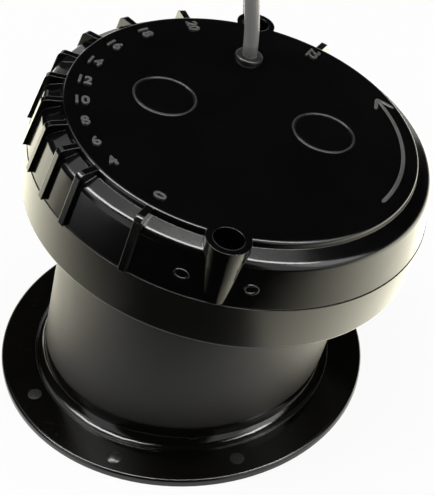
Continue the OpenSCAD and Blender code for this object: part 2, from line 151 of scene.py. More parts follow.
def add_piece(name, points, faces, body):
    """Puts points in metres and lists of faces into a smooth mesh.
    It rides on a CAD body where one is given."""
    mesh = bpy.data.meshes.new(name)
    mesh.from_pydata(np.asarray(points, float).tolist(), [], faces)
    mesh.polygons.foreach_set("use_smooth", np.ones(len(mesh.polygons), bool))
    mesh.update()
    piece = bpy.data.objects.new(name, mesh)
    scene.collection.objects.link(piece)
    if body:
        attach(piece, body)
    return piece


print("mesh helpers ready")

# %% [markdown]
# ## The cable's route
# The cable leaves the grommet on the cap, bends up at once, arches over backwards
# and drops into a coil behind the base.
# A curve through a few given points gives the free stretches.
# They are then evened out and slightly smoothed, because a jacketed cable has no tight corners.

# %% Places along the cable, in millimetres
CABLE_D = 5.0
FLANGE_R, COIL_GAP = 65.0, 1.2
COIL_TURNS, COIL_LAYERS, COIL_R, TIE_T = 7, 5, 44.0, 1.0
COIL_AT = np.array([-22.0, FLANGE_R + COIL_GAP + COIL_R + COIL_TURNS * CABLE_D / 2, TIE_T])
COIL_INNER = COIL_R - (COIL_TURNS - 1) * CABLE_D / 2
COIL_OUTER = COIL_R + (COIL_TURNS - 1) * CABLE_D / 2
COIL_TOP = (COIL_LAYERS - 0.5) * CABLE_D
# The bearings at which the lead comes into the coil and the tail leaves it.
DROP_AZ, TAIL_AZ = 8.0, -95.0
CABLE_X, CABLE_Y, TIP_Z = -1.0, 34.5, 100.9
EXIT = from_cap([CABLE_X, CABLE_Y, TIP_Z]) / MM
# The rise is measured from the exit, the fall and the tail from the middle of the coil's underside.
RISE_POINTS = [[0.45, 0, 3], [0.6, 0, 8], [0.2, 0, 16], [-0.8, 0, 30], [-2.3, 4, 46],
               [-4.3, 18, 61], [-7.3, 38, 68], [-10.3, 58, 62], [-12.3, 70, 46]]
FALL_POINTS = [[23, -17.5, 127], [22.8, -18, 103], [23.2, -18.4, 79], [23.3, -18.4, 62],
               [23.5, -18, 46], [24, -17, 37], [26.2, -12, 29], [28, -7.2, 25.2]]
TAIL_POINTS = [[13, -58.7, 1.5], [30, -58.7, 1.5], [45, -58.5, 1.7],
               [57, -56, 2.5], [66, -50.5, 3.9], [71.5, -42, 5.6]]
PLUG_AT = COIL_AT + [73.5, -32, 8 - TIE_T]
print("cable leaves the grommet at", np.round(EXIT, 2).tolist(), "mm")

# %% [markdown]
# ## Curves through points
# A cable that is bent by hand takes the gentlest curve that its holds allow.
# A spline object could give it, but its points would lie unevenly.
# So a cubic runs through the given points, equal steps are taken along it,
# and a moving mean takes out what is left of the corners.

# %% Path helpers
# Steps on each cubic, millimetres between even points, the bell's spread in points, which points are kept.
STRETCH_STEPS, PATH_STEP, BELL_SPREAD, KEEP_EVERY = 12, 1.5, 4, 3


def through(points):
    """A curve through points:
    on each stretch, the cubic that leaves and arrives along its neighbours' chord."""
    p = np.asarray(points, float)
    ends = np.vstack([p[:1], p, p[-1:]])
    a, b, c, d = (ends[k:len(p) - 1 + k, None, :] for k in range(4))
    t = (np.arange(STRETCH_STEPS) / STRETCH_STEPS)[None, :, None]
    square, cube = 2 * a - 5 * b + 4 * c - d, 3 * b - a - 3 * c + d
    curve = 0.5 * (2 * b + (c - a) * t + square * t**2 + cube * t**3)
    return np.vstack([curve.reshape(-1, 3), p[-1:]])


def run_lengths(path):
    """The way along a path at each of its points: the running sum of its steps."""
    return np.concatenate([[0.0], np.cumsum(np.linalg.norm(np.diff(path, axis=0), axis=1))])


def evened(path, step):
    """The same path with its points an equal step apart."""
    way = run_lengths(path)
    at = np.linspace(0, way[-1], max(2, int(round(way[-1] / step)) + 1))
    return np.stack([np.interp(at, way, path[:, k]) for k in range(3)], axis=-1)


def relaxed(path, spread):
    """Each point becomes a bell-weighted mean of its neighbours.
    The path is mirrored beyond its ends, so they stay in place."""
    reach = 3 * spread
    k = np.arange(-reach, reach + 1)
    bell = np.exp(-0.5 * (k / spread) ** 2)
    before, after = 2 * path[:1] - path[reach:0:-1], 2 * path[-1:] - path[-2:-reach - 2:-1]
    longer = np.vstack([before, path, after])
    return np.stack([np.convolve(longer[:, j], bell / bell.sum(), mode="valid") for j in range(3)], axis=-1)


def as_laid(curve):
    """A free stretch of cable: evened and relaxed, and then every third point of it."""
    return relaxed(evened(curve, PATH_STEP), BELL_SPREAD)[::KEEP_EVERY]


print("free stretches have a point every", PATH_STEP * KEEP_EVERY, "mm")

# %% [markdown]
# ## The coil
# Nearly ten metres of cable are put away in a neat coil of five layers with seven turns each.
# A helix would be easy, but then layers would cut through each other.
# Here each turn keeps its radius, and in one short stretch of its round it moves over to the next place.
# That stretch lies a little further back in each layer,
# so a turn has always left a place before the next one comes.

# %% Coil of turns
# In degrees: a turn's move to its next place, a layer's drop, the room for the lead, and one step.
SHIFT_DEG, STEP_DEG, CLEAR_DEG, ARC_DEG = 50.0, 30.0, 38.0, 7.5
ENTER_DEG, LEAVE_DEG = 12, 8


def ease(t):
    """A smooth step from 0 to 1: three t squared less two t cubed, held at both ends."""
    t = np.clip(t, 0.0, 1.0)
    return t * t * (3 - 2 * t)


def coil_layer(index, start_deg):
    """One layer: its bearings, its radii, its heights and the bearing where it ends.
    The radius moves by a diameter once a round, the height drops by a diameter at the layer's end."""
    first = FULL - SHIFT_DEG - (CLEAR_DEG if index == 0 else STEP_DEG)
    last = index == COIL_LAYERS - 1
    span = first + FULL * (COIL_TURNS - 1)
    if last:
        span += (TAIL_AZ - start_deg - span) % FULL
        span -= FULL * (span - first > FULL * (COIL_TURNS - 1))
    a = np.arange(0.0, span, ARC_DEG)
    moved = ease((a[:, None] - first - FULL * np.arange(COIL_TURNS - 1)) / SHIFT_DEG).sum(axis=1)
    radius = COIL_INNER + CABLE_D * moved if index % 2 == 0 else COIL_OUTER - CABLE_D * moved
    drop = np.zeros_like(a) if last else ease((a - span + STEP_DEG) / STEP_DEG)
    return a + start_deg, radius, COIL_TOP - CABLE_D * (index + drop), start_deg + span


def coil_path():
    """All layers on end, and the bearing where the last one ends."""
    rows, start = [], DROP_AZ
    for index in range(COIL_LAYERS):
        bearing, radius, height, start = coil_layer(index, start)
        rows.append(polar(radius, bearing, height))
    return COIL_AT + np.vstack(rows), start


turns, end_bearing = coil_path()
# The lead's last stretch and the tail's first one lie in the coil and only set the direction there.
lead_ends = COIL_AT + polar(COIL_INNER, [DROP_AZ, DROP_AZ + ENTER_DEG], COIL_TOP)
tail_starts = COIL_AT + polar(COIL_OUTER, [TAIL_AZ - LEAVE_DEG, TAIL_AZ], CABLE_D / 2)
lead_holds = np.vstack([[EXIT], EXIT + RISE_POINTS, COIL_AT + FALL_POINTS, lead_ends])
tail_holds = np.vstack([tail_starts, COIL_AT + TAIL_POINTS, [PLUG_AT]])
lead = as_laid(through(lead_holds)[:-STRETCH_STEPS])
tail = as_laid(through(tail_holds)[STRETCH_STEPS:])
cable_path = np.vstack([lead[:-1], turns, tail]) * MM
print("coil ends at bearing", end_bearing % FULL)

# %% [markdown]
# ## The cable itself
# The jacket is a plain round tube, carried along the route.
# A curve object with a bevel would give it too, but here it is a mesh.
# Its UV map runs round and along, so the jacket's finish follows the cable.

# %% Cable
# Points round the tube, and points along it over which its reference direction swings.
CABLE_SIDES, SWING_POINTS = 12, 24


def across(path, reference):
    """Two directions square to a path:
    the part of the reference that is square to it, and the path's direction crossed with that."""
    t = np.gradient(path, axis=0)
    t /= np.linalg.norm(t, axis=1, keepdims=True)
    u = reference - (reference * t).sum(axis=1, keepdims=True) * t
    u /= np.linalg.norm(u, axis=1, keepdims=True)
    return u, np.cross(t, u)


def tube_points(path, radius, sides, reference):
    """A round bar: path point plus radius times cosine along one cross direction and sine along the other."""
    u, v = across(path, reference)
    a = np.linspace(0, 2 * math.pi, sides, endpoint=False)[None, :, None]
    return (path[:, None] + radius * (np.cos(a) * u[:, None] + np.sin(a) * v[:, None])).reshape(-1, 3)


def tube_uv(path, sides):
    """For each corner of each quad: how far round it is, and how far along in metres.
    The two end caps get zero."""
    k = np.arange(sides)[None, :, None] + np.array([0, 1, 1, 0])[None, None, :]
    way = run_lengths(path)
    along = np.stack([way[:-1], way[:-1], way[1:], way[1:]], axis=-1)[:, None, :]
    u, v = np.broadcast_arrays(k / sides, along)
    return np.concatenate([np.stack([u, v], axis=-1).reshape(-1), np.zeros(4 * sides)])


rings = len(cable_path)
# The reference direction is level on the upright lead and swings to upright on the level coil.
swing = ease((np.arange(rings) - len(lead) + SWING_POINTS / 2) / SWING_POINTS)[:, None]
reference = (1 - swing) * np.array([[1.0, 0, 0]]) + swing * np.array([[0, 0, 1.0]])
cable_points = tube_points(cable_path, CABLE_D / 2 * MM, CABLE_SIDES, reference)
caps = [list(range(CABLE_SIDES))[::-1], list(range((rings - 1) * CABLE_SIDES, rings * CABLE_SIDES))]
cable_faces = quads(rings, CABLE_SIDES, True).tolist() + caps
cable = add_piece("cable_run", cable_points, cable_faces, None)
cable_uv = cable.data.uv_layers.new(name="jacket")
cable_uv.data.foreach_set("uv", tube_uv(cable_path, CABLE_SIDES))
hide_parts("cable", "cable_coil")
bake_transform(cable)
on_cable = ["plug_boot", "plug_body", "plug_insert", "tie_left", "tie_right"]
on_cable += [f"pin_{k}" for k in range(1, 6)]
# The polished top would mirror the cable as a pale bar, so reflections don't see it.
cable.visible_glossy = False
print("cable mesh:", len(cable.data.polygons), "faces")

# %% [markdown]
# ## Smooth light on the CAD solids
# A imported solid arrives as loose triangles, and gloss would show each of them.
# Its mesh isn't changed: a modifier welds the corners and shades across every edge
# that is not a real corner, and another lets large flat faces keep their own direction.

# %% Smoothing modifier
# The angle of a real corner, the distance in metres at which points merge, and the weight of large faces.
CORNER = math.radians(28)
WELD, FLAT_WEIGHT = 1e-6, 60


def smoothing_group():
    """A node group that merges touching corners, smooths faces, and keeps edges sharper than the limit."""
    group = bpy.data.node_groups.new("weld_and_smooth", "GeometryNodeTree")
    for way in ("INPUT", "OUTPUT"):
        group.interface.new_socket("Geometry", in_out=way, socket_type="NodeSocketGeometry")
    chain = [group.nodes.new(kind) for kind in (
        "NodeGroupInput", "GeometryNodeMergeByDistance", "GeometryNodeSetShadeSmooth",
        "GeometryNodeSetShadeSmooth", "NodeGroupOutput")]
    _, weld, smooth_faces, smooth_edges, _ = chain
    weld.inputs["Distance"].default_value = WELD
    smooth_faces.domain, smooth_edges.domain = "FACE", "EDGE"
    angle = group.nodes.new("GeometryNodeInputMeshEdgeAngle")
    limit = group.nodes.new("FunctionNodeCompare")
    limit.operation = "LESS_THAN"
    limit.inputs["B"].default_value = CORNER
    group.links.new(angle.outputs["Unsigned Angle"], limit.inputs["A"])
    group.links.new(limit.outputs["Result"], smooth_edges.inputs["Shade Smooth"])
    for a, b in zip(chain, chain[1:]):
        group.links.new(a.outputs[0], b.inputs[0])
    return group


smoothing = smoothing_group()
for solid in nodes.values():
    solid.modifiers.new("weld_and_smooth", "NODES").node_group = smoothing
    steady = solid.modifiers.new("flat_faces", "WEIGHTED_NORMAL")
    steady.keep_sharp = True
    steady.weight = FLAT_WEIGHT
print("smoothed", len(nodes), "solids")

# %% [markdown]
# ## Raised figures of the scale
# Each rib of the scale has its reading beside it on the flat top,
# written along the radius from the rim inwards.
# The figures are moulded on, so they stand a little under half a millimetre proud.
# Blender's own font gives their outline; they are made a mesh first and then laid on the cap.

# %% Scale figures
MARKS = [0, 4, 6, 8, 10, 12, 14, 16, 18, 20, 22]
# In millimetres: the figures' size, half their depth, the radius they stand at, how much fatter, how round.
FIGURE_SIZE, FIGURE_H, FIGURE_R = 5.2, 0.35, 50.2
FIGURE_FATTER, FIGURE_ROUND = 0.06, 0.1


def figure_mesh(text):
    """Points in millimetres and faces of a raised number, centred on the origin, reading along +X."""
    outline = bpy.data.curves.new("figure", "FONT")
    outline.body = text
    outline.align_x, outline.align_y = "CENTER", "CENTER"
    outline.size, outline.extrude, outline.offset = FIGURE_SIZE, FIGURE_H, FIGURE_FATTER
    outline.bevel_depth, outline.bevel_resolution, outline.resolution_u = FIGURE_ROUND, 1, 6
    holder = bpy.data.objects.new("figure", outline)
    scene.collection.objects.link(holder)
    mesh = bpy.data.meshes.new_from_object(holder.evaluated_get(bpy.context.evaluated_depsgraph_get()))
    points = np.empty(len(mesh.vertices) * 3)
    mesh.vertices.foreach_get("co", points)
    faces = [list(face.vertices) for face in mesh.polygons]
    bpy.data.objects.remove(holder)
    bpy.data.meshes.remove(mesh)
    bpy.data.curves.remove(outline)
    return points.reshape(-1, 3), faces


def lay_figures():
    """All readings in one list of points and faces:
    each is turned to read inwards and set at its rib's bearing."""
    points, faces, count = [], [], 0
    for mark in MARKS:
        flat, loops = figure_mesh(str(mark))
        bearing = math.radians(ZERO_AZ - turn_for(mark))
        laid = spun(flat - [FIGURE_R, 0, 0], bearing + math.pi, "z") + [0, 0, TOP_Z]
        points.append(laid)
        faces += [[v + count for v in loop] for loop in loops]
        count += len(laid)
    return np.vstack(points), faces


figure_points, figure_faces = lay_figures()
figures = add_piece("scale_figures", from_cap(figure_points), figure_faces, "housing")
figures.data.polygons.foreach_set("use_smooth", np.zeros(len(figures.data.polygons), bool))
print("figures:", len(MARKS), "readings,", len(figure_faces), "faces")

# %% [markdown]
# ## Beads
# Round edges beside the two filling plugs, the turning arrow at the right rim
# and two small marks on the skirt are all low beads.
# A bead is half an ellipse carried along a line on a surface. It could be a bevelled curve,
# but as a grid it sits on the surface with its foot just below it and narrows at its ends.

# %% Bead helpers
# Points across, the foot's depth in millimetres, and the square of the width that is left at an open end.
BEAD_SIDES, BEAD_FOOT, BEAD_TIP = 9, 0.05, 0.02


def bead_points(line, outward, width, height, closed):
    """A low rounded ridge: from each point of the line, half an ellipse from one side
    over the outward way to the other.
    The foot goes a little below the surface, and an open bead narrows with the root of the way to its end."""
    span = np.linspace(0, math.pi, BEAD_SIDES)[None, :, None]
    if closed:
        t = np.roll(line, -1, axis=0) - np.roll(line, 1, axis=0)
        swell = np.ones((len(line), 1, 1))
    else:
        t = np.gradient(line, axis=0)
        way = run_lengths(line)
        swell = np.sqrt(np.clip(np.minimum(way, way[-1] - way) / (width / 2), BEAD_TIP, 1))[:, None, None]
    side = np.cross(outward, t)
    side /= np.linalg.norm(side, axis=1, keepdims=True)
    lift = np.sin(span) * height - BEAD_FOOT
    return line[:, None] + swell * np.cos(span) * width / 2 * side[:, None] + lift * outward[:, None]


def bead_faces(rows, closed, first):
    """Quads of one bead: across its section, and along it to the start again where it is closed."""
    made = quads(rows, BEAD_SIDES, False)
    if closed:
        k = np.arange(BEAD_SIDES - 1)
        a = (rows - 1) * BEAD_SIDES + k
        made = np.vstack([made, np.stack([a, a + 1, k + 1, k], axis=-1)])
    return (made[:, ::-1] + first).tolist()


def join_beads(beads):
    """Points and faces of several beads on end.
    Each is given by its line, outward directions, width, height and closedness."""
    points, faces, first = [], [], 0
    for line, outward, width, height, closed in beads:
        points.append(bead_points(line, outward, width, height, closed).reshape(-1, 3))
        faces += bead_faces(len(line), closed, first)
        first += len(points[-1])
    return np.vstack(points), faces


def flat_bead(line, width, height, closed=False):
    """A bead on the flat top, whose outward way is the cap's own Z axis."""
    return line, np.tile([0.0, 0.0, 1.0], (len(line), 1)), width, height, closed


print("a bead has", BEAD_SIDES, "points across")

# %% [markdown]
# ## Rims and arrow on the flat top
# Each filling plug sits flush in the top, with a fine raised edge round it.
# The arrow at the right rim shows which way to turn: a long arc and two barbs.
# They could be part of the cap's solid, but such thin trim is easier to finish as pieces of its own.

# %% Rims and arrow
FILL_X, FILL_Y, FILL_D = 25.2, 2.0, 18.4
# How far the rim lies outside the plug's edge, its width and height, and its points round.
RIM_OUT, RIM_W, RIM_H, RIM_POINTS = 0.6, 0.65, 0.22, 96
ring = polar(FILL_D / 2 + RIM_OUT, np.linspace(0, FULL, RIM_POINTS, endpoint=False), TOP_Z)
rims = [flat_bead(ring + [side * FILL_X, FILL_Y, 0], RIM_W, RIM_H, True) for side in (-1, 1)]
rim_points, rim_faces = join_beads(rims)
fill_rims = add_piece("fill_rims", from_cap(rim_points), rim_faces, "housing")

ARROW_R, ARROW_FROM, ARROW_TO, ARROW_W, ARROW_H = 50.8, -31.0, 33.0, 1.3, 0.35
ARC_POINTS, BARB_POINTS, BARB_REACH, BARB_DEG = 60, 8, 3.4, 6
arc = polar(ARROW_R, np.linspace(ARROW_FROM, ARROW_TO, ARC_POINTS), TOP_Z)
barb_az = np.linspace(ARROW_TO, ARROW_TO - BARB_DEG, BARB_POINTS)
barbs = [polar(np.linspace(ARROW_R, ARROW_R + reach, BARB_POINTS), barb_az, TOP_Z)
         for reach in (-BARB_REACH, BARB_REACH)]
arrow_points, arrow_faces = join_beads([flat_bead(line, ARROW_W, ARROW_H) for line in [arc, *barbs]])
arrow = add_piece("turn_arrow", from_cap(arrow_points), arrow_faces, "housing")
print("rims and arrow:", len(rim_faces) + len(arrow_faces), "faces")

# %% [markdown]
# ## Marks on the skirt and the flange
# Beside the front lug the skirt carries two small oval marks,
# and the flange shows where the mould's ejector pins pushed.
# Such a pin leaves a slightly crowned disc. The one at the front stands higher and catches the light.
# A bump in the finish would do for the picture, but as thin geometry the marks are part of the mesh.

# %% Small mould marks
# Bearings in degrees and lengths in millimetres; a pin's rings end at the hub, a share of its radius.
FRONT_LUG_AZ, OVAL_PLACES = -90, (-9.5, 8.5)
OVAL_Z, OVAL_R, SKIRT_TILT = 87.7, 63.0, math.radians(12)
OVAL_HALF_W, OVAL_HALF_H, OVAL_BEAD_W, OVAL_BEAD_H, OVAL_POINTS = 2.0, 1.3, 0.8, 0.32, 40
FLANGE_T, PIN_R, PIN_SUNK, PIN_HUB = 2.6, 2.6, 0.02, 0.04
PIN_ROWS, PIN_SIDES = 8, 36
# Each pin's radius on the flange, its bearing and its crown.
PIN_PLACES = [(59.2, -99.0, 0.8), (58.4, -59.0, 0.14), (57.5, -139.0, 0.14),
              (58.4, 21.0, 0.14), (58.4, 61.0, 0.14), (58.4, 141.0, 0.14)]


def skirt_oval(bearing):
    """A closed oval bead on the flared skirt: its radius shrinks with height by the flare's tangent."""
    t = np.linspace(0, 2 * math.pi, OVAL_POINTS, endpoint=False)
    az, rise = bearing + np.degrees(OVAL_HALF_W / OVAL_R) * np.cos(t), OVAL_HALF_H * np.sin(t)
    line = polar(OVAL_R - rise * math.tan(SKIRT_TILT), az, OVAL_Z + rise)
    outward = polar(math.cos(SKIRT_TILT), az, math.sin(SKIRT_TILT))
    return line, outward, OVAL_BEAD_W, OVAL_BEAD_H, True


def pin_mark(radius, bearing, crown, first):
    """A crowned disc on the flange: its height falls with the square of the way from its middle."""
    share = np.linspace(1.0, PIN_HUB, PIN_ROWS)
    round_az = np.linspace(0, FULL, PIN_SIDES, endpoint=False)
    disc = polar(PIN_R * share[:, None], round_az[None, :], 0.0)
    disc[..., 2] = (FLANGE_T - PIN_SUNK + crown * (1 - share**2))[:, None]
    faces = quads(PIN_ROWS, PIN_SIDES, True) + first
    middle = list(range(first + (PIN_ROWS - 1) * PIN_SIDES, first + PIN_ROWS * PIN_SIDES))
    return disc.reshape(-1, 3) + polar(radius, bearing, 0.0), faces.tolist() + [middle]


mark_points, mark_faces = join_beads([skirt_oval(FRONT_LUG_AZ + side) for side in OVAL_PLACES])
skirt_marks = add_piece("skirt_marks", from_cap(mark_points), mark_faces, "housing")
pins = [pin_mark(*place, PIN_SIDES * PIN_ROWS * k) for k, place in enumerate(PIN_PLACES)]
pin_points = np.vstack([points for points, _ in pins]) * MM
pin_faces = [face for _, faces in pins for face in faces]
pin_marks = add_piece("ejector_marks", pin_points, pin_faces, "base")
print("mould marks:", len(mark_faces), "and", len(pin_faces), "faces")

# %% [markdown]
# ## Shader maths as Python sums
# A finish is a small net of nodes. Wrapping a socket in a class lets masks be written as sums:
# each operator adds its Math node, and one method adds any other node, with its settings first.

# %% Shader helper
class Wire:
    """A shader socket in a node tree; sums of wires and numbers add Math nodes."""

    def __init__(self, tree, socket=None):
        self.tree, self.socket = tree, socket

    def node(self, kind, settings=None, sockets=None, out=0):
        """Adds a node: its settings first, then the values or links of its sockets."""
        made = self.tree.nodes.new(kind)
        for key, value in (settings or {}).items():
            setattr(made, key, value)
        for key, value in (sockets or {}).items():
            if isinstance(value, Wire):
                self.tree.links.new(value.socket, made.inputs[key])
            else:
                made.inputs[key].default_value = value
        return Wire(self.tree, made.outputs[out])

    def maths(self, operation, a, b):
        """Adds a Math node on two wires or numbers."""
        return self.node("ShaderNodeMath", {"operation": operation}, {0: a, 1: b})

    def __add__(self, other):
        return self.maths("ADD", self, other)

    def __sub__(self, other):
        return self.maths("SUBTRACT", self, other)

    def __rsub__(self, other):
        return self.maths("SUBTRACT", other, self)

    def __mul__(self, other):
        return self.maths("MULTIPLY", self, other)

    def __truediv__(self, other):
        return self.maths("DIVIDE", self, other)

    __radd__, __rmul__ = __add__, __mul__


def clamped(wire):
    """The wire held between 0 and 1."""
    return wire.node("ShaderNodeClamp", None, {"Value": wire}, "Result")


print("shader helper ready")

# %% [markdown]
# ## What every finish needs
# Each finish starts as an empty material that reads places on the object in metres.
# Two shades, a cloudy mask between them and a bump are the parts that nearly all of them share.
# They could be drawn as node groups, but small functions are easier to read and to change.

# %% Parts of a finish
# A Mix node has the sockets of all its data types, so its colours go by number.
MIX_FACTOR, MIX_A, MIX_B, MIX_OUT = 0, 6, 7, 2
BEVEL_SAMPLES = 6


def new_finish(name):
    """An empty material, its net, and object coordinates in metres."""
    material = bpy.data.materials.new(name)
    material.use_nodes = True
    net = Wire(material.node_tree)
    return material, net, net.node("ShaderNodeTexCoord", None, None, "Object")


def set_surface(material, **values):
    """Sets the sockets of the material's surface shader:
    a wire is linked, and anything else is a constant."""
    shader = material.node_tree.nodes["Principled BSDF"]
    for key, value in values.items():
        socket = shader.inputs[key.replace("_", " ")]
        if isinstance(value, Wire):
            material.node_tree.links.new(value.socket, socket)
        else:
            socket.default_value = value
    return material


def faded(net, mask, a, b):
    """The colour a where the mask is 0 and b where it is 1; both may be wires."""
    return net.node("ShaderNodeMix", {"data_type": "RGBA"}, {MIX_FACTOR: mask, MIX_A: a, MIX_B: b}, MIX_OUT)


def shade_mix(net, mask, dark, light):
    """A colour between two plain ones, by a mask."""
    return faded(net, mask, (*dark, 1.0), (*light, 1.0))


def noise(net, place, scale, detail=3.0, rough=0.5):
    """Cloudy noise from 0 to 1, with so many blotches in a metre."""
    return net.node("ShaderNodeTexNoise", None,
                    {"Vector": place, "Scale": scale, "Detail": detail, "Roughness": rough}, "Fac")


def axis_of(net, place, axis):
    """One coordinate of a place."""
    return net.node("ShaderNodeSeparateXYZ", None, {"Vector": place}, axis)


def bump(net, height, depth, edge=0.0):
    """A normal from a height of 0 to 1 and its depth in metres;
    where an edge radius is given, corners look rounded."""
    sockets = {"Height": height, "Distance": depth}
    if edge:
        settings = {"samples": BEVEL_SAMPLES}
        sockets["Normal"] = net.node("ShaderNodeBevel", settings, {"Radius": edge}, "Normal")
    return net.node("ShaderNodeBump", None, sockets, "Normal")


print("parts of a finish ready")

# %% [markdown]
# ## Black plastic of the cap and the base
# Both mouldings are black glass-filled plastic. The cap is polished, with a very faint orange peel.
# The base has a matt tube between a polished foot and a polished collar, and a little dust on its flange.
# A plain black would look painted, so roughness wanders and rubbed patches are slightly greyer.
# The base is one solid with one material, so masks on height divide its looks.

# %% Plastics
# Blotches in a metre of the clouds, scuffs, ripple and dust, and the radius of a rounded edge.
CLOUD_SCALE, SCUFF_SCALE, RIPPLE_SCALE, DUST_SCALE = 55.0, 420.0, 130.0, 700.0
EDGE_ROUND = 0.0004
# Where the base's looks change, and over what way they fade, in metres.
FOOT_TOP, COLLAR_LOW, FLANGE_TOP = 0.0095, 0.065, 0.003
FOOT_FADE, COLLAR_FADE, FLANGE_FADE, POLISH_FADE = 0.0015, 0.0005, 0.0004, 0.008
# The foot's roughness as a share of the collar's, the tube's own, and what dust adds.
FOOT_SHARE, MATT_ROUGH, DUST_ROUGH = 0.33, 0.5, 0.2
DUST = (0.009, 0.0088, 0.0084, 1.0)
MATT_SHADES = (0.0062, 0.0056, 0.0043), (0.0098, 0.009, 0.0069)


def tube_mask(net, place):
    """1 on the matt tube and 0 on the polished foot and collar: above the foot, and below the collar's place
    on the leaning axis, which is X times the wedge's sine plus the height over the pivot times its cosine."""
    x, z = axis_of(net, place, "X"), axis_of(net, place, "Z")
    way_up = x * math.sin(WEDGE) + (z - PIVOT[2] * MM) * math.cos(WEDGE)
    return clamped((z - FOOT_TOP) / FOOT_FADE) * clamped((COLLAR_LOW - way_up) / COLLAR_FADE)


def base_looks(net, place, shade, gloss, matt_shade, matt_gloss):
    """The base's shade and roughness: the tube's mask fades the plain look into the matt one,
    the plain roughness shrinks towards the foot, and specks of dust lie below the flange's top."""
    tube, height = tube_mask(net, place), axis_of(net, place, "Z")
    polish = clamped((height - FOOT_TOP) / POLISH_FADE) * (1 - FOOT_SHARE) + FOOT_SHARE
    specks = clamped((noise(net, place, DUST_SCALE, 5.0, 0.75) - 0.57) * 5.0)
    dust = specks * clamped((FLANGE_TOP - height) / FLANGE_FADE)
    gloss = gloss * polish * (1 - tube) + matt_gloss * tube
    return faded(net, dust, faded(net, tube, shade, matt_shade), DUST), gloss + dust * DUST_ROUGH


def moulded_plastic(name, dark, light, rough, rough_spread, grain_scale, grain_depth, is_base=False):
    """Black plastic: cloudy shade, wandering roughness, fine grain over a broad ripple,
    and slightly rounded corners. The base also gets its matt tube, polished foot and dust."""
    material, net, place = new_finish(name)
    clouds = noise(net, place, CLOUD_SCALE, 4.0)
    scuffs = clamped((noise(net, place, SCUFF_SCALE, 6.0, 0.7) - 0.55) * 4.0)
    grain = noise(net, place, grain_scale, 2.0)
    ripple = noise(net, place, RIPPLE_SCALE, 2.0)
    wander = (clouds - 0.5) * rough_spread
    gloss = rough + wander + scuffs * 0.05
    shade = shade_mix(net, clamped(clouds * 0.8 + scuffs * 0.4), dark, light)
    if is_base:
        matt_shade = shade_mix(net, clouds, *MATT_SHADES)
        shade, gloss = base_looks(net, place, shade, gloss, matt_shade, MATT_ROUGH + wander)
    return set_surface(material, Base_Color=shade, Roughness=clamped(gloss),
                       Normal=bump(net, grain * 0.5 + ripple * 0.5, grain_depth, EDGE_ROUND))


# Darkest and lightest shade, roughness and its spread, grain in a metre and its depth in metres.
PLASTICS = {
    "base_plastic": ((0.0022, 0.002, 0.0017), (0.005, 0.0047, 0.004), 0.3, 0.08, 3200.0, 0.00003, True),
    "cap_plastic": ((0.001, 0.001, 0.0011), (0.0026, 0.0025, 0.0024), 0.15, 0.06, 2600.0, 0.00002),
    "plug_plastic": ((0.0008, 0.0008, 0.0009), (0.002, 0.002, 0.002), 0.16, 0.06, 3000.0, 0.00002),
    # The rims' lighter grey is painted highlight: it stands in for light caught on the raised edge round each
    # plug.
    "rim_painted_highlight": ((0.005, 0.005, 0.005), (0.016, 0.0155, 0.015), 0.3, 0.1, 2600.0, 0.00003),
    "cup_plastic": ((0.012, 0.012, 0.013), (0.02, 0.02, 0.021), 0.35, 0.1, 2400.0, 0.00004),
    # The figures' and the arrow's lighter grey is painted highlight: it stands in for light caught on their
    # raised tops.
    "figures_painted_highlight": ((0.025, 0.024, 0.022), (0.13, 0.126, 0.12), 0.4, 0.1, 2600.0, 0.00003),
    # The ejector marks' lighter grey is painted highlight: it stands in for the light that the crowned discs
    # catch.
    "pin_painted_highlight": ((0.012, 0.012, 0.0115), (0.04, 0.039, 0.038), 0.25, 0.1, 2600.0, 0.00003),
    "connector_plastic": ((0.007, 0.007, 0.0075), (0.018, 0.018, 0.019), 0.42, 0.1, 2000.0, 0.00006)}
plastics = {name: moulded_plastic(name, *values) for name, values in PLASTICS.items()}
print("plastics made:", len(plastics))

# %% [markdown]
# ## Rubber, jacket and band
# The grommet and the plug's boot are dull rubber with a bloom. The cable's jacket is extruded,
# so faint lines run along it, read from its own UV map.
# The bands are woven, with fine ribs across them.
# Noise alone would make all three look like stone, so each has its own direction or grain.

# %% Flexible finishes
# The jacket's pale grey is partly painted highlight: it stands in for the bright line along a glossy black
# cable.
JACKET_AND_PAINTED_HIGHLIGHT_SHADES = (0.2, 0.2, 0.196), (0.34, 0.338, 0.33)
BAND_SHADES = (0.006, 0.006, 0.007), (0.03, 0.03, 0.033)
BLOOM_SCALE, RUBBER_GRAIN, RUBBER_DEPTH = 160.0, 4200.0, 0.00005
JACKET_STRETCH, JACKET_DEPTH = (9.0, 6.0, 1.0), 0.00006
RIB_SCALE, FUZZ_SCALE, WEAVE_DEPTH = 320.0, 2200.0, 0.0002


def soft_rubber(name, dark, light, rough):
    """Rubber: a pale bloom in blotches and a fine matt grain."""
    material, net, place = new_finish(name)
    bloom = noise(net, place, BLOOM_SCALE, 5.0, 0.6)
    return set_surface(material, Base_Color=shade_mix(net, bloom, dark, light),
                       Roughness=clamped(rough + bloom * 0.15),
                       Normal=bump(net, noise(net, place, RUBBER_GRAIN), RUBBER_DEPTH))


def cable_jacket(name):
    """Extruded jacket: lines that run along the cable, and a gloss that changes slowly on the way."""
    material, net, _ = new_finish(name)
    along = net.node("ShaderNodeUVMap", {"uv_map": "jacket"})
    stretched = net.node("ShaderNodeMapping", None, {"Vector": along, "Scale": JACKET_STRETCH})
    lines = noise(net, stretched, 4.0, 2.0)
    slow = noise(net, along, 40.0, 3.0)
    return set_surface(material, Base_Color=shade_mix(net, lines, *JACKET_AND_PAINTED_HIGHLIGHT_SHADES),
                       Roughness=clamped(0.24 + slow * 0.12), Normal=bump(net, lines, JACKET_DEPTH),
                       Specular_IOR_Level=0.2)


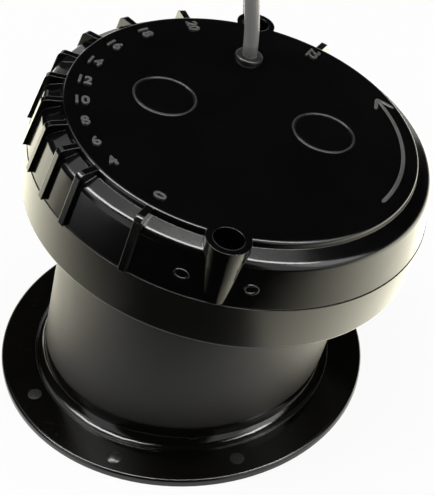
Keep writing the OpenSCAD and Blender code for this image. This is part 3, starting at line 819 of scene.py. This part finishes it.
def woven_band(name):
    """Narrow weave: fine ribs across and along, with a fuzzy shade."""
    material, net, place = new_finish(name)
    wave = {"Vector": place, "Scale": RIB_SCALE, "Distortion": 1.5, "Detail": 2.0, "Detail Scale": 6.0}
    ribs = net.node("ShaderNodeTexWave", {"bands_direction": "Z"}, wave, "Fac")
    fuzz = noise(net, place, FUZZ_SCALE, 3.0)
    weave = ribs * 0.6 + fuzz * 0.4
    return set_surface(material, Base_Color=shade_mix(net, weave, *BAND_SHADES),
                       Roughness=clamped(0.75 + fuzz * 0.2), Normal=bump(net, weave, WEAVE_DEPTH),
                       Sheen_Weight=0.3)


grommet_rubber = soft_rubber("grommet_rubber", (0.0015, 0.0015, 0.0015), (0.004, 0.004, 0.004), 0.3)
seal_rubber = soft_rubber("seal_rubber", (0.005, 0.005, 0.005), (0.013, 0.013, 0.013), 0.55)
jacket = cable_jacket("cable_jacket")
tail_jacket = soft_rubber("tail_jacket", *JACKET_AND_PAINTED_HIGHLIGHT_SHADES, 0.28)
band = woven_band("tie_band")
print("flexible finishes made")

# %% [markdown]
# ## What is inside
# Behind the sensing face lie a tan matching layer, a fired ceramic disc with silvered faces,
# cork, two leads and potting.
# They are hidden in the closed unit, but each gets its own finish.
# Cells of two shades, at the right scale, do for all the grainy ones.

# %% Inner finishes
def speckled(name, dark, light, scale, rough, depth, metallic=0.0):
    """A grainy material: cells of two shades, rough and slightly uneven."""
    material, net, place = new_finish(name)
    spread = {"Vector": place, "Scale": scale, "Randomness": 1.0}
    cells = net.node("ShaderNodeTexVoronoi", None, spread, "Distance")
    grain = clamped(cells * 1.2 + noise(net, place, scale * 1.7) * 0.5 - 0.2)
    return set_surface(material, Base_Color=shade_mix(net, grain, dark, light), Metallic=metallic,
                       Roughness=clamped(rough + grain * 0.1), Normal=bump(net, grain, depth))


cork = speckled("cork", (0.16, 0.085, 0.035), (0.5, 0.31, 0.15), 650.0, 0.8, 0.0003)
ceramic = speckled("piezo_ceramic", (0.5, 0.46, 0.36), (0.66, 0.62, 0.5), 1900.0, 0.35, 0.00002)
epoxy = speckled("matching_epoxy", (0.27, 0.17, 0.06), (0.38, 0.26, 0.11), 900.0, 0.4, 0.00003)
resin = speckled("potting_resin", (0.03, 0.028, 0.024), (0.07, 0.066, 0.058), 300.0, 0.3, 0.00005)
red_lead = soft_rubber("lead_red", (0.3, 0.012, 0.01), (0.42, 0.03, 0.025), 0.35)
black_lead = soft_rubber("lead_black", (0.008, 0.008, 0.008), (0.02, 0.02, 0.02), 0.35)
brass = speckled("contact_brass", (0.62, 0.42, 0.14), (0.82, 0.62, 0.26), 2500.0, 0.22, 0.00001, 1.0)
print("inner finishes made")

# %% [markdown]
# ## Every piece gets its finish
# A solid keeps its mesh, so its look changes only through its material slots.
# The two solids of the cable that the new tube stands for are hidden and need none.

# %% Assign finishes
SOLID_FINISHES = {
    "base": plastics["base_plastic"], "top_cap": plastics["cap_plastic"],
    "transducer_cup": plastics["cup_plastic"], "seal_ring": seal_rubber,
    "fill_plug_left": plastics["plug_plastic"], "fill_plug_right": plastics["plug_plastic"],
    "grommet": grommet_rubber, "matching_layer": epoxy, "piezo_disc": ceramic,
    "cork_ring": cork, "cork_disc": cork, "potting": resin, "lead_left": red_lead, "lead_right": black_lead,
    "cable_tail": tail_jacket, "tie_left": band, "tie_right": band, "plug_boot": grommet_rubber,
    "plug_body": plastics["connector_plastic"], "plug_insert": plastics["connector_plastic"],
    **{f"pin_{k}": brass for k in range(1, 6)}}
for name, finish in SOLID_FINISHES.items():
    nodes[name].data.materials.clear()
    nodes[name].data.materials.append(finish)
NEW_FINISHES = (
    (cable, jacket), (figures, plastics["figures_painted_highlight"]), (arrow, plastics["figures_painted_highlight"]),
    (fill_rims, plastics["rim_painted_highlight"]), (skirt_marks, plastics["cap_plastic"]),
    (pin_marks, plastics["pin_painted_highlight"]))
for piece, finish in NEW_FINISHES:
    piece.data.materials.append(finish)
print("finishes on", len(SOLID_FINISHES) + len(NEW_FINISHES), "pieces")

# %% [markdown]
# ## Floor and background
# The picture is a studio shot on white. The floor is pale and keeps a soft shadow;
# for the camera and for reflections it fades into a white background.
# More lamps would whiten it too, but they would also bleach the part.

# %% Floor and background
WHITE = (1.0, 1.0, 1.0, 1.0)
WHITE_SHARE, AMBIENT = 0.92, 0.38
FLOOR_HALF, FLOOR_Z = 6, -0.0002


def card(name, corners, finish):
    """A flat four-sided sheet from its corners."""
    mesh = bpy.data.meshes.new(name)
    mesh.from_pydata(corners, [], [(0, 1, 2, 3)])
    sheet = bpy.data.objects.new(name, mesh)
    scene.collection.objects.link(sheet)
    mesh.materials.append(finish)
    return sheet


def flat_card(name, low, high, height, finish):
    """A level card between two corners at one height."""
    corners = (low[0], low[1]), (high[0], low[1]), (high[0], high[1]), (low[0], high[1])
    return card(name, [(x, y, height) for x, y in corners], finish)


def seen_directly(net):
    """1 for rays that show the background itself: from the camera, a reflection or through glass."""
    kinds = "Is Camera Ray", "Is Glossy Ray", "Is Transmission Ray"
    camera_ray, glossy_ray, glass_ray = (net.node("ShaderNodeLightPath", None, None, kind) for kind in kinds)
    return clamped(camera_ray + glossy_ray + glass_ray)


floor_finish, net, place = new_finish("floor_paper")
paper = shade_mix(net, noise(net, place, 300.0), (0.86, 0.86, 0.86), (0.9, 0.9, 0.9))
set_surface(floor_finish, Base_Color=paper, Roughness=0.9, Specular_IOR_Level=0.0)
glow = net.node("ShaderNodeEmission", None, {"Color": WHITE, "Strength": 1.0})
lit = Wire(net.tree, net.tree.nodes["Principled BSDF"].outputs[0])
floor_look = net.node("ShaderNodeMixShader", None, {0: seen_directly(net) * WHITE_SHARE, 1: lit, 2: glow})
net.tree.links.new(floor_look.socket, net.tree.nodes["Material Output"].inputs["Surface"])
flat_card("floor", (-FLOOR_HALF, -FLOOR_HALF), (FLOOR_HALF, FLOOR_HALF), FLOOR_Z, floor_finish)

world = bpy.data.worlds.new("white_studio")
scene.world = world
world.use_nodes = True
sky = Wire(world.node_tree)
background = world.node_tree.nodes["Background"]
background.inputs["Color"].default_value = WHITE
sky.tree.links.new((seen_directly(sky) * (1 - AMBIENT) + AMBIENT).socket, background.inputs["Strength"])
scene.view_settings.view_transform = "Standard"
print("floor and background made")

# %% [markdown]
# ## Cards that only reflections see
# Black gloss shows what stands round it, so the part is shaped by what it mirrors.
# Dark cards above, in front, at both sides and on the floor keep the flat top,
# the front of the skirt and the foot black.
# Two glowing papers on the floor brighten the sides,
# and a strip overhead draws the light line on the shoulder.
# Lamps could do it, but they would light the floor as well.

# %% Dark cards and glowing papers
PAPER_TINT, STRIP_TINT = (1.0, 0.965, 0.78), (1.0, 0.99, 0.96)
CARD_SHADES = (0.002, 0.002, 0.002), (0.004, 0.004, 0.004)
dark_finish, net, place = new_finish("black_card")
set_surface(dark_finish, Base_Color=shade_mix(net, noise(net, place, 20.0), *CARD_SHADES),
            Roughness=1.0, Specular_IOR_Level=0.0)


def glowing(name, shade, strength, fade=None):
    """A finish that only shines; with a fade it goes from black to full between two places along Y,
    by three times the square of the way less twice its cube."""
    material, net, place = new_finish(name)
    glow_shade = (*shade, 1.0)
    if fade:
        rise = clamped((axis_of(net, place, "Y") - fade[0]) / (fade[1] - fade[0]))
        glow_shade = shade_mix(net, rise * rise * (3.0 - rise * 2.0), (0.0, 0.0, 0.0), shade)
    shine = net.node("ShaderNodeEmission", None, {"Color": glow_shade, "Strength": strength})
    net.tree.links.new(shine.socket, net.tree.nodes["Material Output"].inputs["Surface"])
    return material


def upright_card(name, start, end, low, high):
    """A dark card that stands on a line from start to end, between two heights."""
    return card(name, [(*start, low), (*end, low), (*end, high), (*start, high)], dark_finish)


left_paper = glowing("lit_paper_left", PAPER_TINT, 3.6, (-0.16, 0.06))
right_paper = glowing("lit_paper_right", PAPER_TINT, 3.8, (-0.22, 0.04))
strip_finish = glowing("light_strip", STRIP_TINT, 18.0)
cards = [flat_card("card_over", (-0.9, 0.55), (0.9, 2.3), 0.9, dark_finish),
         flat_card("card_floor", (-0.5, -1.3), (0.5, -0.09), 0.0006, dark_finish),
         upright_card("card_right", (1.0, 0.05), (0.6, 1.3), 0.1, 1.5),
         upright_card("card_front", (-0.9, -1.3), (0.9, -1.3), 0.0, 3.0),
         upright_card("card_left", (-1.0, -0.6), (-1.0, 1.0), 0.03, 1.1),
         flat_card("strip_over", (-1.2, -0.26), (1.2, 0.03), 1.25, strip_finish),
         flat_card("card_brow", (-0.9, -0.78), (0.9, -0.27), 1.4, dark_finish),
         flat_card("paper_left", (-0.7, -0.16), (-0.066, 0.4), 0.0008, left_paper),
         flat_card("paper_right", (0.066, -0.22), (0.8, 0.4), 0.0008, right_paper)]
for sheet in cards:
    sheet.visible_camera = sheet.visible_diffuse = sheet.visible_shadow = sheet.visible_transmission = False
print("cards in place:", len(cards))

# %% [markdown]
# ## Lamps
# Three soft boxes, one at each side and one overhead, light the studio evenly and leave a soft shadow.
# A sun lamp would be simpler, but its hard shadow isn't a studio's.

# %% Soft boxes
LIT_POINT = (0, 0, 0.06)
# Each lamp's place, width, height and power.
LAMPS = {
    "lamp_left": ((-1.1, -0.2, 0.7), 0.7, 0.7, 3.5),
    "lamp_right": ((1.2, -0.3, 0.7), 0.7, 0.7, 3.5),
    "lamp_over": ((0.0, -0.08, 1.3), 1.4, 0.3, 9.0)}


def soft_box(name, place, width, height, power):
    """A lamp with a level long side that faces the part: its Z axis points away from the part,
    X is level and square to that, and Y is Z crossed with X."""
    data = bpy.data.lights.new(name, "AREA")
    data.shape, data.size, data.size_y, data.energy = "RECTANGLE", width, height, power
    lamp = bpy.data.objects.new(name, data)
    z = np.array(place, float) - np.array(LIT_POINT, float)
    z /= np.linalg.norm(z)
    x = np.cross([0, 0, 1.0], z)
    x /= np.linalg.norm(x)
    stance = np.eye(4)
    stance[:3] = np.stack([x, np.cross(z, x), z, place], axis=1)
    lamp.matrix_world = Matrix(stance)
    scene.collection.objects.link(lamp)


for name, values in LAMPS.items():
    soft_box(name, *values)
print("lamps:", len(LAMPS))
